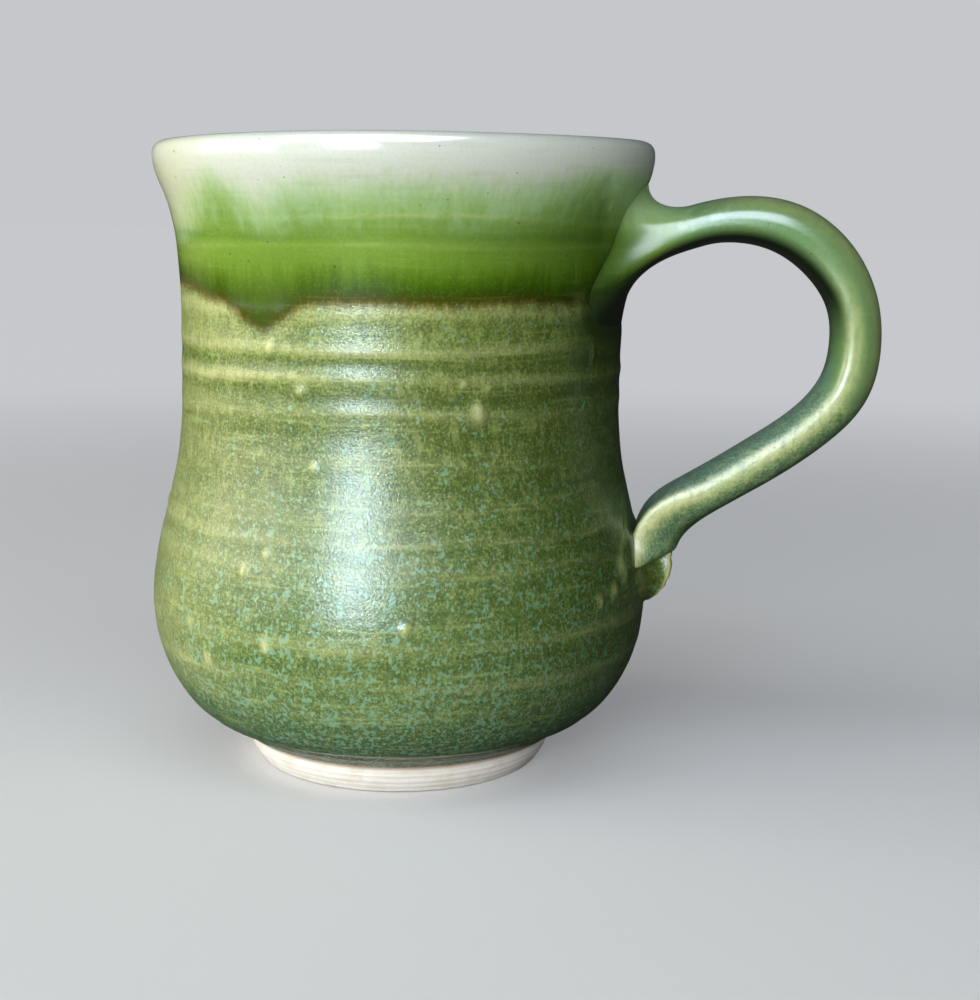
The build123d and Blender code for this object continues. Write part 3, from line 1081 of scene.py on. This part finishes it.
band_low = outside.place_of(OVERLAP_BOTTOM)
band_high = outside.place_of(OVERLAP_TOP)
finish_piece(make_clay_body(), clay_material, "thrown_body")
finish_piece(make_liner(), liner_material, "liner_glaze")
rim_coat = outside_coat("rim_coat", band_high, outside.length)
finish_piece(rim_coat, rim_material, "rim_glaze")
overlap_band = outside_coat("overlap_band", band_low, band_high)
finish_piece(overlap_band, band_material, "overlap_glaze")
body_coat = outside_coat("body_coat", 0, band_low)
finish_piece(body_coat, body_material, "body_glaze")

handle_face = handle_rings(0)
handle_coat = joined_shell("handle_coat", handle_face, handle_rings(GLAZE), handle_looks(handle_face))
finish_piece(handle_coat, handle_material, "handle_glaze")
strap_clay = ring_mesh("strap_clay", handle_rings(GLAZE + 0.05), False)
finish_piece(strap_clay, clay_material, "pulled_handle")
tongue, tongue_looks = tail_rings()
tail = ring_mesh("tail_tongue", tongue, False, tongue_looks)
finish_piece(tail, body_material, "handle_tail")
for bed, outline in (("upper_slip", UPPER_ROOT), ("lower_slip", LOWER_ROOT)):
    finish_piece(ring_mesh(bed, root_bed(outline), False), clay_material, f"{bed}_weld")


# ---------------------------------------------------------------- floor, light and camera

BACKDROP = [0.85 * c for c in linear((212, 214, 218))]


def make_floor():
    """A plain pale floor that runs into the backdrop; off camera it is a dim brown table."""
    bpy.ops.mesh.primitive_plane_add(size=12)
    floor = bpy.context.object
    floor.name = "floor"
    n = Nodes("pale_floor")
    seen = n.add("ShaderNodeLightPath").outputs["Is Camera Ray"]
    distance = n.add("ShaderNodeVectorMath", {0: n.place}, operation="LENGTH").outputs["Value"]
    far = n.span(distance, 160, 700)
    pale = n.mix(far, linear((206, 206, 206)), (0, 0, 0, 1))
    material = n.surface(
        Base_Color=n.mix(seen, linear((74, 68, 62)), pale),
        Roughness=0.8,
        Specular_IOR_Level=0.1,
        Emission_Color=n.mix(far, [0.3 * c for c in BACKDROP], BACKDROP),
        Emission_Strength=seen,
    )
    floor.data.materials.append(material)


def softbox(name, side, rise, distance, width, height, power, colour, seen=("diffuse", "glossy")):
    """A soft light aimed at the mug, at degrees right of the camera and above level, and metres away."""
    light = bpy.data.lights.new(name, "AREA")
    light.shape = "RECTANGLE"
    light.size = width
    light.size_y = height
    light.energy = power
    light.color = colour
    lamp = bpy.data.objects.new(name, light)
    turn = FACING + math.radians(side)
    up = math.radians(rise)
    away = Vector((math.cos(turn) * math.cos(up), math.sin(turn) * math.cos(up), math.sin(up)))
    lamp.location = Vector((0, 0, 0.5 * MUG_HEIGHT * MM)) + away * distance
    lamp.rotation_euler = away.to_track_quat("Z", "Y").to_euler()
    lamp.visible_diffuse = "diffuse" in seen
    lamp.visible_glossy = "glossy" in seen
    bpy.context.scene.collection.objects.link(lamp)


def make_camera():
    """The camera stands above the handle's near side and looks a little down and to the right."""
    away = 2.710 * MUG_HEIGHT * MM
    eye = 0.902 * MUG_HEIGHT * MM
    down, right, roll = (math.radians(a) for a in (10.05, 3.08, 0.77))
    data = bpy.data.cameras.new("camera")
    data.lens = 60.2
    data.sensor_width = 36
    camera = bpy.data.objects.new("camera", data)
    camera.matrix_world = (
        Matrix.Translation((away * math.cos(FACING), away * math.sin(FACING), eye))
        @ Matrix.Rotation(CAMERA_TURN - right, 4, "Z")
        @ Matrix.Rotation(math.pi / 2 - down, 4, "X")
        @ Matrix.Rotation(roll, 4, "Z")
    )
    bpy.context.scene.collection.objects.link(camera)
    bpy.context.scene.camera = camera


def make_world():
    """Reflections are bluish on the camera's left and dark on its right; what lights the mug is dim."""
    world = bpy.data.worlds.new("studio")
    world.use_nodes = True
    nodes = world.node_tree.nodes
    link = world.node_tree.links.new

    def mixed(factor, a, b):
        mix = nodes.new("ShaderNodeMix")
        mix.data_type = "RGBA"
        link(factor, mix.inputs[0])
        for socket, colour in ((6, a), (7, b)):
            if isinstance(colour, bpy.types.NodeSocket):
                link(colour, mix.inputs[socket])
            else:
                mix.inputs[socket].default_value = colour
        return mix.outputs[2]

    direction = nodes.new("ShaderNodeSeparateXYZ")
    link(nodes.new("ShaderNodeTexCoord").outputs["Generated"], direction.inputs[0])
    leftward = nodes.new("ShaderNodeMapRange")
    leftward.inputs["From Min"].default_value = 0.2
    leftward.inputs["From Max"].default_value = -0.8
    link(direction.outputs["X"], leftward.inputs["Value"])
    path = nodes.new("ShaderNodeLightPath").outputs
    mirrored = mixed(leftward.outputs[0], (0.03, 0.035, 0.03, 1), (0.18, 0.25, 0.33, 1))
    unseen = mixed(path["Is Glossy Ray"], (0.035, 0.038, 0.042, 1), mirrored)
    link(mixed(path["Is Camera Ray"], unseen, BACKDROP), nodes["Background"].inputs["Color"])
    bpy.context.scene.world = world


make_floor()
make_world()
# name, degrees right of the camera, degrees up, metres away, width, height, watts, colour and rays lit
softbox("key", -80, 16, 1.0, 0.8, 0.6, 6.3, (1.0, 0.93, 0.82))
softbox("window", -22, 10, 1.2, 0.42, 0.36, 5.0, (0.97, 0.99, 1.0))
softbox("window_glint", -22, 10, 1.19, 0.40, 0.34, 13.2, (0.52, 0.71, 1.0), ("glossy",))
softbox("right_fill", 48, 22, 1.2, 0.6, 0.6, 2.2, (0.95, 0.98, 1.0), ("diffuse",))
softbox("side_window", -62, 8, 1.3, 0.25, 0.40, 1.7, (0.85, 0.95, 1.0))
softbox("low_front", -25, 2, 0.7, 0.6, 0.04, 2.8, (1.0, 0.98, 0.95), ("diffuse",))
softbox("overhead", -12, 56, 0.9, 1.0, 0.42, 2.8, (0.80, 0.92, 1.0), ("diffuse",))
softbox("sky", -20, 50, 0.9, 1.1, 0.8, 42.0, (0.69, 0.72, 1.0), ("glossy",))
make_camera()
bpy.context.scene.view_settings.view_transform = "Standard"
